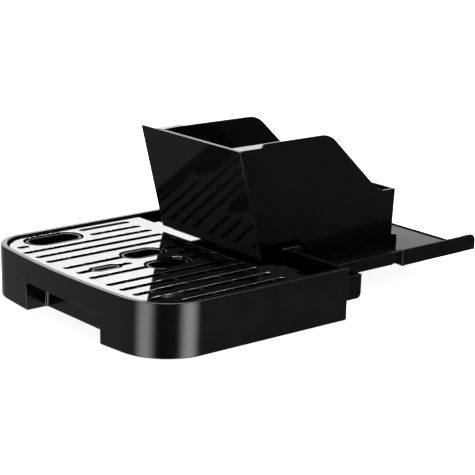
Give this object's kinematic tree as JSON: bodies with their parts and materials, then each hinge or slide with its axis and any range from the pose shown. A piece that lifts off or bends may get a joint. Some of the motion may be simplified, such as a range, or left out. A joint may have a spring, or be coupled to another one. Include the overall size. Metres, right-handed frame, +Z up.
{
  "type": "drip tray and grounds container unit",
  "caption": "Pull-out unit of a bean-to-cup coffee machine: a drip tray with a slotted steel grille and level float, and an open grounds container on a rear carrier.",
  "frame": {"origin": "on the floor under the middle of the unit's bounding box", "axes": "+X to the right and +Y to the back as seen from the machine's front, +Z up"},
  "size_m": [0.236, 0.389, 0.1356],
  "materials": {
    "tub_plastic": "satin black",
    "polished_steel": "mirror polished",
    "insert_plastic": "gloss black",
    "float_plastic": "satin black",
    "clip_steel": "bright",
    "container_plastic": "gloss black",
    "carrier_plastic": "gloss black"
  },
  "bodies": {
    "tub": {"tray_tub": "tub_plastic"},
    "grille": {"grille_plate": "polished_steel", "grille_tab_left": "polished_steel", "grille_tab_right": "polished_steel", "grille_frame": "insert_plastic", "front_funnel": "insert_plastic", "left_funnel": "insert_plastic", "right_funnel": "insert_plastic", "float_well": "insert_plastic"},
    "float": {"level_float": "float_plastic", "float_clip": "clip_steel"},
    "container": {"grounds_container": "container_plastic", "container_front_panel": "container_plastic", "panel_screws": "clip_steel"},
    "carrier": {"carrier_channel": "carrier_plastic", "carrier_shelf": "carrier_plastic", "carrier_hook_left": "carrier_plastic", "carrier_hook_right": "carrier_plastic", "container_stop": "carrier_plastic", "guide_rail_left": "carrier_plastic", "guide_rail_right": "carrier_plastic"}
  },
  "joints": [
    {"name": "container_lift", "type": "slide", "parent": "tub", "child": "container", "axis": [0, 0, 1], "range_m": [0, 0.15]},
    {"name": "grille_lift", "type": "slide", "parent": "tub", "child": "grille", "axis": [0, 0, 1], "range_m": [0, 0.045]},
    {"name": "carrier_lift", "type": "slide", "parent": "tub", "child": "carrier", "axis": [0, 0, 1], "range_m": [0, 0.03]},
    {"name": "float_rise", "type": "slide", "parent": "grille", "child": "float", "axis": [0, 0, 1], "range_m": [0, 0.007]}
  ],
  "couplings": [
    {"joint": "grille_lift", "follows": "container_lift", "ratio": 0.3},
    {"joint": "carrier_lift", "follows": "container_lift", "ratio": 0.2}
  ]
}
